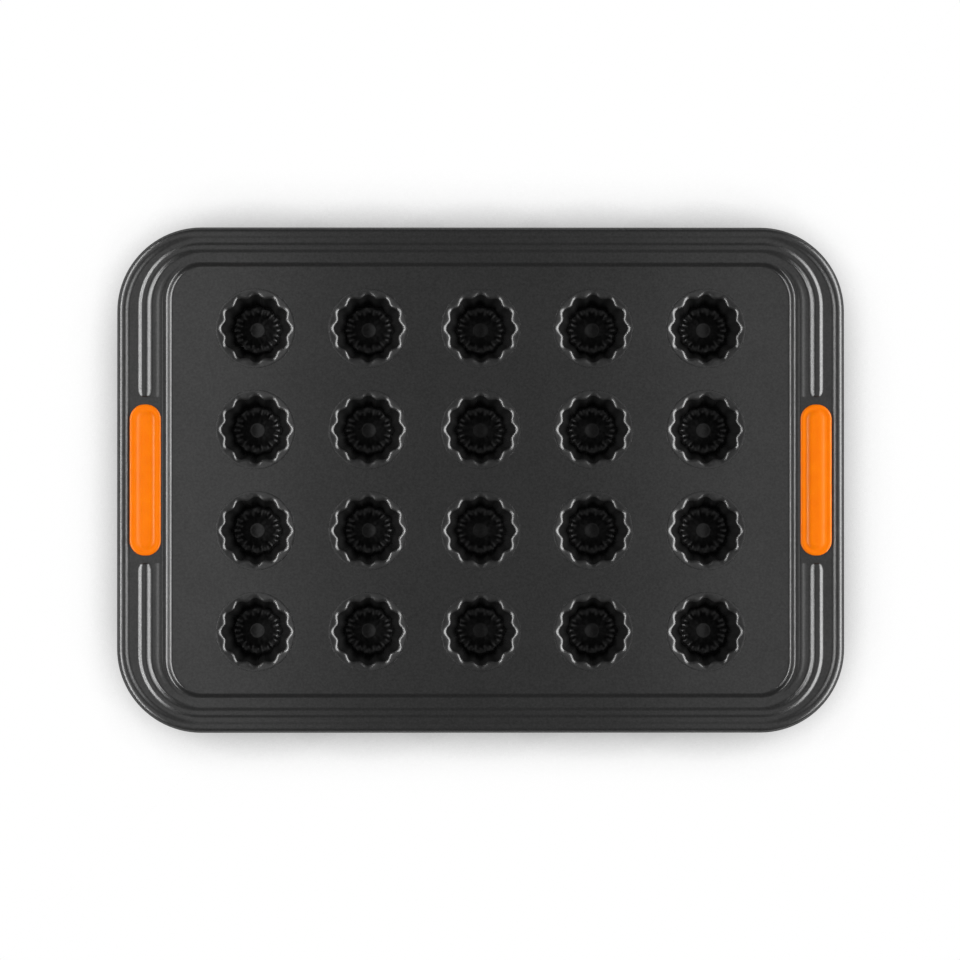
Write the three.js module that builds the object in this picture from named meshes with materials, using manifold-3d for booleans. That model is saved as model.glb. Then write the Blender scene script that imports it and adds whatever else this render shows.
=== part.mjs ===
// Canele pan: a coated steel tray with fluted cups set into its deck, a wired rolled edge and two silicone grips.
// Millimetres, +Z up, +X along the length. The origin is on the surface that the cups stand on, under the middle.

import * as THREE from 'three';
import { mergeVertices } from 'three/addons/utils/BufferGeometryUtils.js';
import Module from 'manifold-3d';

// Fluted cups. Radii are means between the outward lobes and the inward ribs.
const COLUMNS = 5;
const ROWS = 4;
const FLUTES = 12;
const CUP_SHEET = 0.8;
const CUP_DEPTH = 30;
const MOUTH_RADIUS = 17.85;
const MOUTH_FLUTE = 0.87;
const BASE_RADIUS = 12.8;
const BASE_FLUTE = 0.45;
const FLOOR_RISE = 1.4;
const GROOVE_RADIUS = 10.8;
const FOOT_WIDTH = 2;
const PLATEAU_RADIUS = 3.75;
const PLATEAU_HEIGHT = 2.6;

// Seam between a cup and the deck
const LAND_WIDTH = 2.9;
const LAND_DROP = 0.2;
const EDGE_DROP = 0.3;
const SEAM_GAP = 0.3;
const COLLAR_LAP = 2.1;

// Deck: clear sheet between collars, and between the outer collars and the wall
const SHEET = 1;
const COLUMN_GAP = 14.3;
const ROW_GAP = 7.95;
const END_MARGIN = 21.9;
const SIDE_MARGIN = 10.5;

// Wall, flange and rolled edge. "Short" is across a short side of the pan, "long" across a long side.
const RECESS = 3.4;
const WALL_RUN_SHORT = 4.5;
const WALL_RUN_LONG = 3.55;
const FILLET_RUN = 1.2;
const FILLET_DROP = 0.8;
const CORNER_RADIUS = 46.5;
const ROLL_RADIUS = 3.4;
const ROLL_RISE = 1.2;
const ROLL_FOOT = 6.8;
const WIRE_GAP = 0.35;

// Raised bead round the flange
const BEAD_RISE = 1.2;
const BEAD_CREST = 2;
const BEAD_WIDTH_SHORT = 8.3;
const BEAD_WIDTH_LONG = 6.2;
const BEAD_GAP_SHORT = 4;
const BEAD_GAP_LONG = 1.1;
const BEAD_INNER_LAND = 3.6;
const BEAD_END_GAP = 4.4;
const BEAD_END_RAMP = 3.5;

// Silicone grips
const GRIP_WIDTH = 17.2;
const GRIP_LENGTH = 83.6;
const GRIP_END_FLAT = 1.3;
const GRIP_GAP_OUTER = 0.3;
const GRIP_GAP_INNER = 1.7;
const GRIP_LIP = 2.2;
const GRIP_LIP_HEIGHT = 1.4;
const GRIP_EDGE_ROUND = 0.8;
const CUSHION_INSET = 2.6;
const CUSHION_ROUND = 1.2;
const CUSHION_RISE = 0.8;
const UNDER_LIP_INSET = 0.8;
const UNDER_LIP_HEIGHT = 1.8;
const SLOT_GAP = 0.3;

// Steps in round stretches
const CORNER_STEPS = 6;
const CURL_STEPS = 6;
const WIRE_SIDES = 8;
const PAD_STEPS = 4;
const CUP_POINTS = 2 * FLUTES;
const CURL_START = Math.PI / 4;
const CURL_END = 7 * Math.PI / 4;

// Overlaps that only exist while solids are joined or cut
const DECK_LAP = 3;
const CUT_MARGIN = 2;

// Sizes that follow from those above
const PLUG_RADIUS = MOUTH_RADIUS + MOUTH_FLUTE + LAND_WIDTH;
const HOLE_RADIUS = PLUG_RADIUS + SEAM_GAP;
const COLLAR_RADIUS = HOLE_RADIUS + COLLAR_LAP;
const COLUMN_PITCH = 2 * COLLAR_RADIUS + COLUMN_GAP;
const ROW_PITCH = 2 * COLLAR_RADIUS + ROW_GAP;
const DECK_Z = CUP_SHEET + CUP_DEPTH;
const FLANGE_Z = DECK_Z + RECESS;
const ROLL_Z = FLANGE_Z + ROLL_RISE - ROLL_RADIUS;
const FLANGE_SHORT = ROLL_FOOT + GRIP_GAP_OUTER + GRIP_WIDTH + GRIP_GAP_INNER + WALL_RUN_SHORT;
const FLANGE_LONG = ROLL_FOOT + BEAD_GAP_LONG + BEAD_WIDTH_LONG + BEAD_INNER_LAND + WALL_RUN_LONG;
const HALF_LENGTH = (COLUMNS - 1) / 2 * COLUMN_PITCH + COLLAR_RADIUS + END_MARGIN + FLANGE_SHORT;
const HALF_WIDTH = (ROWS - 1) / 2 * ROW_PITCH + COLLAR_RADIUS + SIDE_MARGIN + FLANGE_LONG;
const BEAD_END = GRIP_LENGTH / 2 + BEAD_END_GAP;
const GRIP_X = HALF_LENGTH - ROLL_FOOT - GRIP_GAP_OUTER - GRIP_WIDTH / 2;

const wasm = await Module();
wasm.setup();

// A closed skin over a list of rings of points. Rings may differ in count, and a ring of one point closes an end.
function skin(rings, closed = false) {
  const starts = [];
  const positions = [];
  for (const ring of rings) {
    starts.push(positions.length / 3);
    ring.forEach((point) => positions.push(point.x, point.y, point.z));
  }
  const index = [];
  const bands = closed ? rings.length : rings.length - 1;
  for (let band = 0; band < bands; band++) {
    const next = (band + 1) % rings.length;
    const counts = [rings[band].length, rings[next].length];
    const steps = Math.max(...counts);
    const corner = (ring, count, step) => starts[ring] + Math.floor(step * count / steps) % count;
    for (let step = 0; step < steps; step++) {
      const a0 = corner(band, counts[0], step);
      const a1 = corner(band, counts[0], step + 1);
      const b0 = corner(next, counts[1], step);
      const b1 = corner(next, counts[1], step + 1);
      if (a0 !== a1) index.push(a0, a1, b1);
      if (b0 !== b1) index.push(a0, b1, b0);
    }
  }
  const geometry = new THREE.BufferGeometry();
  geometry.setAttribute('position', new THREE.Float32BufferAttribute(positions, 3));
  geometry.setIndex(index);
  return geometry;
}

function solid(geometry) {
  const bare = geometry.clone();
  bare.deleteAttribute('normal');
  bare.deleteAttribute('uv');
  const merged = mergeVertices(bare);
  const vertProperties = new Float32Array(merged.attributes.position.array);
  const triVerts = new Uint32Array(merged.index.array);
  return new wasm.Manifold(new wasm.Mesh({ numProp: 3, vertProperties, triVerts }));
}

function geometryOf(manifold) {
  const mesh = manifold.getMesh();
  const geometry = new THREE.BufferGeometry();
  geometry.setAttribute('position', new THREE.Float32BufferAttribute(mesh.vertProperties, 3));
  geometry.setIndex([...mesh.triVerts]);
  return geometry;
}

// Moves each point of an open path to its left by a distance, mitred at the corners.
function offsetPath(path, distance) {
  const normals = path.slice(1).map((point, i) => {
    const along = point.clone().sub(path[i]).normalize();
    return new THREE.Vector2(-along.y, along.x);
  });
  return path.map((point, i) => {
    const before = normals[Math.max(i - 1, 0)];
    const after = normals[Math.min(i, normals.length - 1)];
    const mitre = before.clone().add(after).divideScalar(1 + before.dot(after));
    return point.clone().addScaledVector(mitre, distance);
  });
}

// The sheet's cross-section from the deck to the end of the curl, as (distance in from the outer edge, height).
function railSection({ flange, wallRun, beadStart, beadWidth, beadRise }) {
  const wallTop = flange - wallRun;
  const beadMiddle = beadStart + beadWidth / 2;
  const upper = [
    new THREE.Vector2(flange + DECK_LAP, DECK_Z),
    new THREE.Vector2(flange, DECK_Z),
    new THREE.Vector2(flange - FILLET_RUN, DECK_Z + FILLET_DROP),
    new THREE.Vector2(wallTop + FILLET_RUN, FLANGE_Z - FILLET_DROP),
    new THREE.Vector2(wallTop, FLANGE_Z),
    new THREE.Vector2(beadStart + beadWidth, FLANGE_Z),
    new THREE.Vector2(beadMiddle + BEAD_CREST / 2, FLANGE_Z + beadRise),
    new THREE.Vector2(beadMiddle - BEAD_CREST / 2, FLANGE_Z + beadRise),
    new THREE.Vector2(beadStart, FLANGE_Z),
    new THREE.Vector2(ROLL_FOOT, FLANGE_Z),
  ];
  for (let step = 0; step <= CURL_STEPS; step++) {
    const angle = THREE.MathUtils.lerp(CURL_START, CURL_END, step / CURL_STEPS);
    const inset = ROLL_RADIUS + ROLL_RADIUS * Math.cos(angle);
    upper.push(new THREE.Vector2(inset, ROLL_Z + ROLL_RADIUS * Math.sin(angle)));
  }
  return [...offsetPath(upper, SHEET), ...upper.reverse()];
}

function wireSection() {
  const radius = ROLL_RADIUS - SHEET - WIRE_GAP;
  return Array.from({ length: WIRE_SIDES }, (_, side) => {
    const angle = -2 * Math.PI * side / WIRE_SIDES;
    return new THREE.Vector2(ROLL_RADIUS + radius * Math.cos(angle), ROLL_Z + radius * Math.sin(angle));
  });
}

// A section carried once round the pan: one ring for each of its points. The sections across the short sides, across
// the long sides and beside the grips have the same count of points, and the corners blend the first two.
function sweep(short, long, besideGrip) {
  const reach = [BEAD_END + BEAD_END_RAMP, BEAD_END, -BEAD_END, -BEAD_END - BEAD_END_RAMP];
  return short.map((pointShort, i) => {
    const pointLong = long[i];
    const sidePoints = [pointShort, besideGrip[i], besideGrip[i], pointShort];
    const ring = [];
    const side = (sign) => reach.forEach((y, k) => {
      ring.push(new THREE.Vector3(sign * (HALF_LENGTH - sidePoints[k].x), -sign * y, sidePoints[k].y));
    });
    const corner = (signX, signY, first) => {
      const radius = CORNER_RADIUS - pointShort.x;
      const centreX = signX * (HALF_LENGTH - pointShort.x - radius);
      const centreY = signY * (HALF_WIDTH - pointLong.x - radius);
      for (let step = 0; step <= CORNER_STEPS; step++) {
        const angle = first + Math.PI / 2 * step / CORNER_STEPS;
        const z = THREE.MathUtils.lerp(pointShort.y, pointLong.y, Math.abs(Math.sin(angle)));
        ring.push(new THREE.Vector3(centreX + radius * Math.cos(angle), centreY + radius * Math.sin(angle), z));
      }
    };
    side(1);
    corner(1, 1, 0);
    corner(-1, 1, Math.PI / 2);
    side(-1);
    corner(-1, -1, Math.PI);
    corner(1, -1, 3 * Math.PI / 2);
    return ring;
  });
}

function flatShape(ring) {
  return new THREE.Shape(ring.map((point) => new THREE.Vector2(point.x, point.y)));
}

function cupCentres() {
  const centres = [];
  for (let row = 0; row < ROWS; row++) {
    for (let column = 0; column < COLUMNS; column++) {
      const x = (column - (COLUMNS - 1) / 2) * COLUMN_PITCH;
      const y = ((ROWS - 1) / 2 - row) * ROW_PITCH;
      centres.push({ name: `cup_r${row + 1}_c${column + 1}`, x, y });
    }
  }
  return centres;
}

// A ring of a grip or of its slot: a long pad outline, drawn in by an inset.
function padRing(inset, z) {
  const halfWidth = GRIP_WIDTH / 2 - inset;
  const halfLength = GRIP_LENGTH / 2 - inset;
  const radius = Math.max(halfWidth - GRIP_END_FLAT, 0);
  const ring = [];
  for (let quarter = 0; quarter < 4; quarter++) {
    const signX = quarter % 3 === 0 ? 1 : -1;
    const signY = quarter < 2 ? 1 : -1;
    for (let step = 0; step <= PAD_STEPS; step++) {
      const angle = Math.PI / 2 * (quarter + step / PAD_STEPS);
      const x = signX * (halfWidth - radius) + radius * Math.cos(angle);
      const y = signY * (halfLength - radius) + radius * Math.sin(angle);
      ring.push(new THREE.Vector3(x, y, z));
    }
  }
  return ring;
}

function trayGeometry() {
  const short = {
    flange: FLANGE_SHORT,
    wallRun: WALL_RUN_SHORT,
    beadStart: ROLL_FOOT + BEAD_GAP_SHORT,
    beadWidth: BEAD_WIDTH_SHORT,
    beadRise: BEAD_RISE,
  };
  const long = {
    flange: FLANGE_LONG,
    wallRun: WALL_RUN_LONG,
    beadStart: ROLL_FOOT + BEAD_GAP_LONG,
    beadWidth: BEAD_WIDTH_LONG,
    beadRise: BEAD_RISE,
  };
  const rings = sweep(railSection(short), railSection(long), railSection({ ...short, beadRise: 0 }));
  const rail = solid(skin(rings, true));

  const deckEdge = new THREE.Vector2(FLANGE_SHORT + DECK_LAP, 0);
  const deckEdgeLong = new THREE.Vector2(FLANGE_LONG + DECK_LAP, 0);
  const [outline] = sweep([deckEdge], [deckEdgeLong], [deckEdge]);
  const deckShape = flatShape(outline);
  const hole = cupRing(HOLE_RADIUS, 0, 0, CUP_POINTS);
  for (const { x, y } of cupCentres()) {
    deckShape.holes.push(new THREE.Path(hole.map((point) => new THREE.Vector2(x + point.x, y + point.y))));
  }
  const deck = new THREE.ExtrudeGeometry(deckShape, { depth: SHEET, bevelEnabled: false });
  deck.translate(0, 0, DECK_Z - SHEET);

  const slotShape = flatShape(padRing(GRIP_LIP - SLOT_GAP, 0));
  const slot = new THREE.ExtrudeGeometry(slotShape, { depth: SHEET + 2 * CUT_MARGIN, bevelEnabled: false });
  slot.translate(GRIP_X, 0, FLANGE_Z - SHEET - CUT_MARGIN);
  const slotLeft = slot.clone().rotateZ(Math.PI);
  return geometryOf(rail.add(solid(deck)).subtract(solid(slot)).subtract(solid(slotLeft)));
}

function cupRing(radius, flute, z, count) {
  return Array.from({ length: count }, (_, i) => {
    const angle = 2 * Math.PI * i / count;
    const reach = radius + flute * Math.cos(FLUTES * angle);
    return new THREE.Vector3(reach * Math.cos(angle), reach * Math.sin(angle), z);
  });
}

function cupGeometry() {
  const plateauZ = CUP_SHEET + PLATEAU_HEIGHT;
  const baseZ = CUP_SHEET + FLOOR_RISE;
  const landZ = DECK_Z - LAND_DROP;
  const mouthZ = landZ - EDGE_DROP;
  const collarZ = DECK_Z - SHEET;
  const underZ = collarZ - CUP_SHEET;
  const outside = (z) => {
    const share = (z - baseZ) / (mouthZ - baseZ);
    return THREE.MathUtils.lerp(BASE_RADIUS, MOUTH_RADIUS, share) + CUP_SHEET;
  };
  const round = (radius, z) => cupRing(radius, 0, z, CUP_POINTS);
  const small = (radius, z) => cupRing(radius, 0, z, FLUTES);
  const rings = [
    [new THREE.Vector3(0, 0, plateauZ)],
    small(PLATEAU_RADIUS, plateauZ),
    small(GROOVE_RADIUS, CUP_SHEET),
    cupRing(BASE_RADIUS, BASE_FLUTE, baseZ, CUP_POINTS),
    cupRing(MOUTH_RADIUS, MOUTH_FLUTE, mouthZ, CUP_POINTS),
    round(PLUG_RADIUS, landZ),
    round(PLUG_RADIUS, collarZ),
    round(COLLAR_RADIUS, collarZ),
    round(COLLAR_RADIUS, underZ),
    cupRing(outside(underZ), MOUTH_FLUTE, underZ, CUP_POINTS),
    cupRing(outside(FLOOR_RISE), BASE_FLUTE, FLOOR_RISE, CUP_POINTS),
    small(GROOVE_RADIUS + FOOT_WIDTH / 2, 0),
    small(GROOVE_RADIUS - FOOT_WIDTH / 2, 0),
    small(PLATEAU_RADIUS - CUP_SHEET / 2, PLATEAU_HEIGHT),
    [new THREE.Vector3(0, 0, PLATEAU_HEIGHT)],
  ];
  return skin(rings.reverse());
}

// A grip in its own frame: x across the flange, y along it, z from the flange's top face.
function gripGeometry() {
  const underTop = -SHEET;
  const underBottom = underTop - UNDER_LIP_HEIGHT;
  const cushionTop = GRIP_LIP_HEIGHT + CUSHION_RISE;
  return skin([
    [new THREE.Vector3(0, 0, underBottom)],
    padRing(UNDER_LIP_INSET + GRIP_EDGE_ROUND, underBottom),
    padRing(UNDER_LIP_INSET, underBottom + GRIP_EDGE_ROUND),
    padRing(UNDER_LIP_INSET, underTop),
    padRing(GRIP_LIP, underTop),
    padRing(GRIP_LIP, 0),
    padRing(0, 0),
    padRing(0, GRIP_LIP_HEIGHT - GRIP_EDGE_ROUND),
    padRing(GRIP_EDGE_ROUND, GRIP_LIP_HEIGHT),
    padRing(CUSHION_INSET, GRIP_LIP_HEIGHT),
    padRing(CUSHION_INSET + CUSHION_ROUND, cushionTop),
    [new THREE.Vector3(0, 0, cushionTop)],
  ]);
}

const coat = () => new THREE.MeshStandardMaterial({ color: 0x2e2e2f, roughness: 0.45, metalness: 0.4 });
const silicone = () => new THREE.MeshStandardMaterial({ color: 0xf97a08, roughness: 0.55, metalness: 0 });
const steel = () => new THREE.MeshStandardMaterial({ color: 0x9a9c9f, roughness: 0.4, metalness: 1 });

const pan = new THREE.Group();

function place(name, geometry, material, x = 0, y = 0, z = 0) {
  const mesh = new THREE.Mesh(geometry, material);
  mesh.name = name;
  mesh.position.set(x, y, z);
  pan.add(mesh);
  return mesh;
}

place('tray', trayGeometry(), coat());

const wire = wireSection();
place('rim_wire', skin(sweep(wire, wire, wire), true), steel());

const cup = cupGeometry();
for (const { name, x, y } of cupCentres()) {
  place(name, cup, coat(), x, y);
}

const grip = gripGeometry();
place('grip_right', grip, silicone(), GRIP_X, 0, FLANGE_Z);
place('grip_left', grip, silicone(), -GRIP_X, 0, FLANGE_Z).rotation.z = Math.PI;

export default pan;
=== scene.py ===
# %% [markdown]
# # A canele pan
# This lesson dresses a baking pan that is already built as plain solids at its real size. The
# solids give every place and outer size, and here each one is modelled again as the smooth,
# thin, pressed sheet or soft moulding it really is. A fitted subdivision of the solids would
# keep their facets, so each piece is made anew, by hand, around the frame.

# %% Load the frame
import math

import bmesh
import bpy
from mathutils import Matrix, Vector


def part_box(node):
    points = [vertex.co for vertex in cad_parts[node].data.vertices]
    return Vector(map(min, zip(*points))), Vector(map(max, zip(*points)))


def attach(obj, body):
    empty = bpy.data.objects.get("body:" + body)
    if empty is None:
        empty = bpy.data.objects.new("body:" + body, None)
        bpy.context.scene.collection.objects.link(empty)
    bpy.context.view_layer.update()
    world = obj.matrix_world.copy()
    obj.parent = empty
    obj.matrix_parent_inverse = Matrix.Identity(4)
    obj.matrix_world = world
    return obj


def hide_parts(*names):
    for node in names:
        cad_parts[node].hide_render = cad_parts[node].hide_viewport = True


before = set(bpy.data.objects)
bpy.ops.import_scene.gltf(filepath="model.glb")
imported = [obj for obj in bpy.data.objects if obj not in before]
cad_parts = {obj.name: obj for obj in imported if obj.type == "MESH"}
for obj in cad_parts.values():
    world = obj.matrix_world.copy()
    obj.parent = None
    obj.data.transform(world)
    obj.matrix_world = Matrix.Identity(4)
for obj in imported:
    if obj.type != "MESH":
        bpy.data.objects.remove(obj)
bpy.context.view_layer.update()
MM = 0.001


# %% [markdown]
# ## Working as by hand
# Blender's operators act on whatever is selected, which on screen is done with the mouse. A
# script selects by place or by facing instead. These few helpers open a primitive in edit mode,
# pick vertices, edges or faces by a test, and apply a modifier. Everything after them is the
# same handful of moves: inset, extrude, spin, bevel, bisect, resize.


# %% Helpers for selecting and finishing
WELD = 0.002 * MM


def new_piece(name, add_primitive, **settings):
    """Adds a primitive, gives it a name and opens it in edit mode with all of it selected."""
    bpy.ops.object.select_all(action="DESELECT")
    add_primitive(**settings)
    piece = bpy.context.object
    piece.name = name
    piece.data.name = name
    bpy.ops.object.transform_apply(location=True, rotation=True, scale=True)
    bpy.ops.object.mode_set(mode="EDIT")
    return piece


def pick_vertices(piece, wanted):
    """Selects the vertices whose place passes a test, and returns how many there are."""
    bpy.ops.mesh.select_mode(type="VERT")
    bpy.ops.mesh.select_all(action="DESELECT")
    mesh = bmesh.from_edit_mesh(piece.data)
    for vertex in mesh.verts:
        vertex.select_set(wanted(vertex.co))
    mesh.select_flush(True)
    bmesh.update_edit_mesh(piece.data)
    return sum(vertex.select for vertex in mesh.verts)


def pick_edges(piece, wanted):
    """Selects the edges that pass a test, and returns how many there are."""
    bpy.ops.mesh.select_mode(type="EDGE")
    bpy.ops.mesh.select_all(action="DESELECT")
    mesh = bmesh.from_edit_mesh(piece.data)
    for edge in mesh.edges:
        edge.select_set(wanted(edge))
    bmesh.update_edit_mesh(piece.data)
    return sum(edge.select for edge in mesh.edges)


def pick_faces(piece, wanted):
    """Selects the faces whose middle and normal pass a test, and returns how many there are."""
    bpy.ops.mesh.select_mode(type="FACE")
    bpy.ops.mesh.select_all(action="DESELECT")
    mesh = bmesh.from_edit_mesh(piece.data)
    for face in mesh.faces:
        face.select_set(wanted(face.calc_center_median(), face.normal))
    bmesh.update_edit_mesh(piece.data)
    return sum(face.select for face in mesh.faces)


def resize(x, y, z, about=(0, 0, 0)):
    """Scales what is selected about a point."""
    bpy.ops.transform.resize(value=(x, y, z), center_override=about)


def extrude(move):
    """Extrudes what is selected, and moves the new part."""
    bpy.ops.mesh.extrude_region_move(TRANSFORM_OT_translate={"value": move})


def round_corners(radius, steps):
    """Rounds the corners of the flat outline that is selected."""
    bpy.ops.mesh.bevel(offset=radius, segments=steps, affect="VERTICES", clamp_overlap=False)


def weld():
    """Joins the points that lie on each other, and turns all faces outwards."""
    bpy.ops.mesh.select_all(action="SELECT")
    bpy.ops.mesh.remove_doubles(threshold=WELD)
    bpy.ops.mesh.normals_make_consistent(inside=False)


def apply_modifier(piece, kind, **settings):
    """Adds a modifier with its settings and applies it to the mesh."""
    bpy.ops.object.select_all(action="DESELECT")
    piece.select_set(True)
    bpy.context.view_layer.objects.active = piece
    modifier = piece.modifiers.new(kind.title(), kind)
    for name, value in settings.items():
        setattr(modifier, name, value)
    bpy.ops.object.modifier_apply(modifier=modifier.name)


def close_edit(piece, smooth_below=math.radians(40)):
    """Leaves edit mode and shades the piece smooth, apart from edges sharper than an angle."""
    bpy.ops.object.mode_set(mode="OBJECT")
    bpy.ops.object.select_all(action="DESELECT")
    piece.select_set(True)
    bpy.context.view_layer.objects.active = piece
    bpy.ops.object.shade_smooth_by_angle(angle=smooth_below)


def triangles(piece):
    """How many triangles a piece has."""
    return sum(len(polygon.vertices) - 2 for polygon in piece.data.polygons)


# %% [markdown]
# ## Where things are
# The places come from the frame. The tray's box gives the outer size, each cup's box gives its
# middle and the height of the deck that it hangs from, and the wire's box gives the middle of
# the rolled edge, which the flange lies just above. The sheet's sizes in plan are measured on
# the photograph, its heights and thickness are estimated, and each is written once, where it is
# first needed.

# %% Places and sizes
tray_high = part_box("tray")[1]
HALF_LENGTH = tray_high.x
HALF_WIDTH = tray_high.y
CORNER_RADIUS = 46.5 * MM

cup_names = sorted(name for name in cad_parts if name.startswith("cup_"))
cup_middles = {}
for name in cup_names:
    low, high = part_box(name)
    cup_middles[name] = (low + high) / 2
cup_low, cup_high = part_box(cup_names[0])
COLLAR_RADIUS = (cup_high.x - cup_low.x) / 2
LAND_DROP = 0.2 * MM
DECK_Z = cup_high.z + LAND_DROP
SHEET = 1.0 * MM

wire_low, wire_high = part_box("rim_wire")
ROLL_RADIUS = 3.4 * MM
ROLL_RISE = 1.2 * MM
ROLL_Z = (wire_low.z + wire_high.z) / 2
FLANGE_Z = ROLL_Z + ROLL_RADIUS - ROLL_RISE
print("deck at", round(DECK_Z, 5), "flange at", round(FLANGE_Z, 5), "and", len(cup_names), "cups")

# %% [markdown]
# ## The tray's section
# The real tray is one sheet pressed in a die, so all its height is in one cross-section carried
# round the edge. From the outside in it climbs the rolled edge, eases down to the flange, rises
# over the bead, falls a little further than it rose, swells very slightly, and goes down a small
# step and a soft wall to the deck. A curve with a bevel object could carry it round, but the
# section is wider across the short sides than across the long ones, so it is built ring by ring
# from the outside in. Each stretch has a run for the short sides, one for the long sides, a
# rise, and a shape.


# %% Shapes of a stretch, as shares of its run and of its rise
def soft_s(steps):
    """An S from one level to another, easy at both ends."""
    return [(k / steps, (1 - math.cos(math.pi * k / steps)) / 2) for k in range(1, steps + 1)]


def quarter_round(steps):
    """A quarter of a circle that starts upright and ends level."""
    angles = [math.pi / 2 * k / steps for k in range(1, steps + 1)]
    return [(1 - math.cos(angle), math.sin(angle)) for angle in angles]


def lopsided_s(steps, steepest):
    """An S of two parabolas, steepest at a chosen share of its run."""
    shares = [k / steps for k in range(1, steps + 1)]
    start = [(s, s * s / steepest) for s in shares if s < steepest]
    return start + [(s, 1 - (1 - s) ** 2 / (1 - steepest)) for s in shares if s >= steepest]


LEVEL = [(1, 1)]

# %% Stretches of the section: runs across the short and the long sides, and rises
ROLL_CREST = 3.7 * MM
ROLL_FOOT = 7.2 * MM
BEAD_START = (11.4 * MM, 7.9 * MM)
BEAD_UP = (2.8 * MM, 2.7 * MM)
BEAD_CREST = (1.4 * MM, 0.7 * MM)
BEAD_DOWN = (4.3 * MM, 3.7 * MM)
SWELL_RUN = (4.2 * MM, 2.1 * MM)
STEP_RUN = (1.9 * MM, 1.2 * MM)
SHELF_RUN = (0.3 * MM, 0.6 * MM)
WALL_RUN = (4.4 * MM, 3.2 * MM)
BEAD_RISE = 0.85 * MM
BEAD_FALL = 1.7 * MM
SWELL_RISE = 0.5 * MM
STEP_FALL = 0.5 * MM
SWELL_STEEPEST = 0.7
DECK_BORDER = 1.2 * MM
BEND_STEPS = 9
SWELL_STEPS = 8
STEP_STEPS = 6
WALL_STEPS = 14
inside_bead_z = FLANGE_Z + BEAD_RISE - BEAD_FALL
wall_drop = inside_bead_z + SWELL_RISE - STEP_FALL - DECK_Z
section = [
    ((ROLL_CREST, ROLL_CREST), ROLL_RADIUS, quarter_round(BEND_STEPS)),
    ((ROLL_FOOT - ROLL_CREST, ROLL_FOOT - ROLL_CREST), -ROLL_RISE, soft_s(BEND_STEPS)),
    ((BEAD_START[0] - ROLL_FOOT, BEAD_START[1] - ROLL_FOOT), 0, LEVEL),
    (BEAD_UP, BEAD_RISE, soft_s(BEND_STEPS)),
    (BEAD_CREST, 0, LEVEL),
    (BEAD_DOWN, -BEAD_FALL, soft_s(BEND_STEPS)),
    (SWELL_RUN, SWELL_RISE, lopsided_s(SWELL_STEPS, SWELL_STEEPEST)),
    (STEP_RUN, -STEP_FALL, soft_s(STEP_STEPS)),
    (SHELF_RUN, 0, LEVEL),
    (WALL_RUN, -wall_drop, soft_s(WALL_STEPS)),
    ((DECK_BORDER, DECK_BORDER), 0, LEVEL),
]
print("tray section:", sum(len(shape) for _, _, shape in section), "rings")

# %% [markdown]
# ## Pressing the tray
# A plane the size of the pan has its corners rounded by a vertex bevel. Then the face is inset
# again and again: each inset is one ring of the section, its depth is the rise, and a small
# stretch across makes the long sides narrower than the short ones. What is left in the middle is
# the deck. The same outline gets a second face, which is inset downwards to make the underside
# of the rolled edge, and is then opened to leave the curl's lip.

# %% Rounded outline
CORNER_STEPS = 24
tray = new_piece("tray_pressing", bpy.ops.mesh.primitive_plane_add, size=1, location=(0, 0, ROLL_Z))
resize(2 * HALF_LENGTH, 2 * HALF_WIDTH, 1)
round_corners(CORNER_RADIUS, CORNER_STEPS)
print("outline:", len(bmesh.from_edit_mesh(tray.data).verts), "points")


# %% Ring by ring from the rolled edge to the deck
def inset_ring(run_short, run_long, rise, half_width):
    """Insets the face by the short sides' run, then stretches it to the long sides' run."""
    bpy.ops.mesh.inset(thickness=run_short, depth=rise)
    resize(1, (half_width - run_long) / (half_width - run_short), 1)
    return half_width - run_long


half_width = HALF_WIDTH
bpy.ops.mesh.select_mode(type="FACE")
for (run_short, run_long), rise, shape in section:
    across_before, up_before = 0, 0
    for across, up in shape:
        part = across - across_before
        lift = (up - up_before) * rise
        half_width = inset_ring(part * run_short, part * run_long, lift, half_width)
        across_before, up_before = across, up
print("deck half width:", round(half_width, 5))

# %% Underside of the curl
CURL_END = math.radians(135)
CURL_STEPS = 14
pick_edges(tray, lambda edge: edge.is_boundary)
bpy.ops.mesh.edge_face_add()
bpy.ops.mesh.select_mode(type="FACE")
under = [face for face in bmesh.from_edit_mesh(tray.data).faces if face.select][0]
if under.normal.z > 0:
    bpy.ops.mesh.flip_normals()
for step in range(CURL_STEPS):
    before, after = (CURL_END * k / CURL_STEPS for k in (step, step + 1))
    run = ROLL_RADIUS * (math.cos(before) - math.cos(after))
    bpy.ops.mesh.inset(thickness=run, depth=ROLL_RADIUS * (math.sin(after) - math.sin(before)))
bpy.ops.mesh.delete(type="FACE")
print("tray sheet:", len(bmesh.from_edit_mesh(tray.data).faces), "faces")

# %% [markdown]
# ## Ends of the bead and of the swell
# The bead stops short of each grip with a rounded end. Bisect cuts the flange across at a few
# stations there, and each station is drawn in and lowered by the share that a round end has. The
# flange is a little lower inside the bead than outside it, so each station is also turned
# slightly. Just beyond the bead's ends one more station is made flat from the flange to the
# swell, which is the seat that the grip lies on. The swell belongs to the short sides only, so
# it is lowered bit by bit round each corner.

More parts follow.
